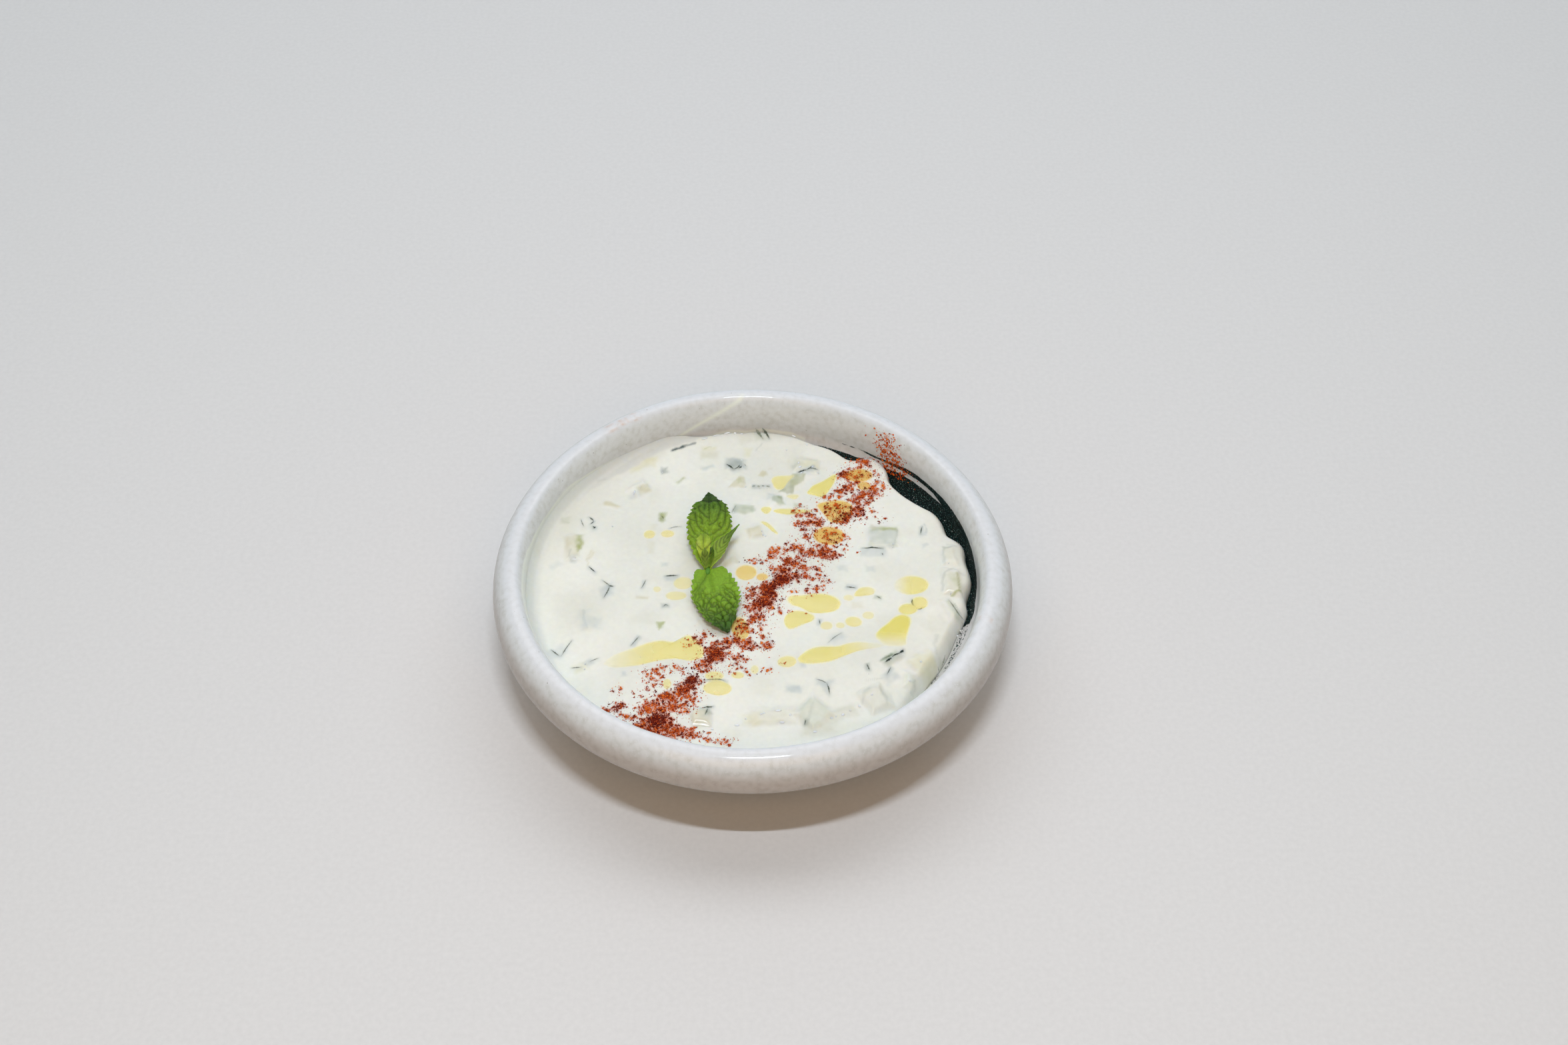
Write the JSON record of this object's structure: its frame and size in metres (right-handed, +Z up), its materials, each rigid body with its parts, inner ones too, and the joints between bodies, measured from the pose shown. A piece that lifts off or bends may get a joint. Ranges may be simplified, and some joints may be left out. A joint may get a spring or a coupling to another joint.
{
  "type": "tzatziki dip in a bowl",
  "caption": "Thick yoghurt and cucumber dip in a shallow stoneware bowl with a rolled rim, dressed with olive oil, a line of red pepper flakes and a mint sprig.",
  "frame": {"origin": "middle of the foot ring's underside, on the table", "axes": "+Z up, -Y towards the diner, +X to the diner's right"},
  "size_m": [0.16, 0.16, 0.038],
  "materials": {
    "glaze": "glossy off-white stoneware glaze with a faint grey mottle",
    "ring": "dark teal brush stroke under the glaze",
    "yoghurt": "wet strained yoghurt with cucumber showing through",
    "cucumber": "wet diced cucumber with dark green skin",
    "oil": "clear yellow-green olive oil",
    "paprika": "dry crushed red pepper flakes",
    "mint": "fresh mint leaf with a waxy sheen"
  },
  "bodies": {
    "root": {"bowl": "glaze", "dip": "yoghurt", "mint_sprig": "mint"}
  },
  "joints": []
}
